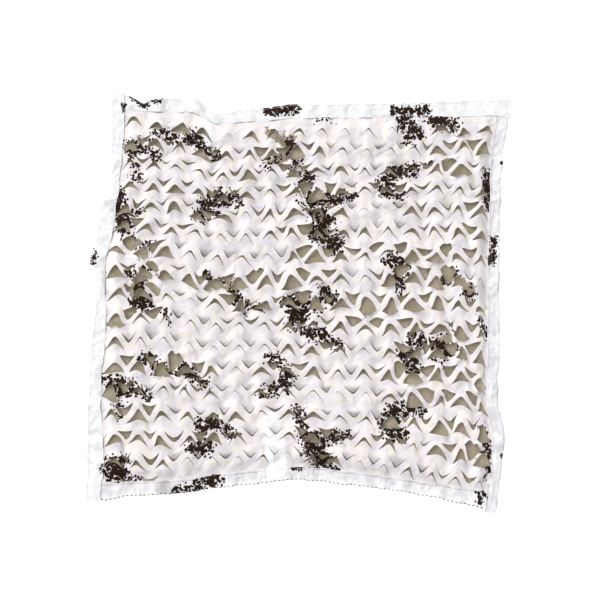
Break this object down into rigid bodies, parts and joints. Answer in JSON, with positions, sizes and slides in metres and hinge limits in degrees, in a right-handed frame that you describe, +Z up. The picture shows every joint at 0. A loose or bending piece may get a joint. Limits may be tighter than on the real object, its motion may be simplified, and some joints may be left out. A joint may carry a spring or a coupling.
{
  "type": "camouflage netting",
  "caption": "Square leaf-cut camouflage net lying spread on the ground, slit in staggered rows and pulled partly open, with a folded cloth binding along each edge",
  "frame": {"origin": "centre of the bounding box, on the ground that the net lies on", "axes": "+Z up, out of the ground; +Y towards the top edge binding; +X towards the right edge binding"},
  "size_m": [1.592, 1.568, 0.0273],
  "materials": {
    "printed_cloth": "thin woven polyester, near white with a dark brown and taupe dotted print",
    "edge_cloth": "the same near-white cloth, folded into a strip"
  },
  "bodies": {
    "root": {"net": "printed_cloth", "top_binding": "edge_cloth", "right_binding": "edge_cloth", "bottom_binding": "edge_cloth", "left_binding": "edge_cloth"}
  },
  "joints": []
}
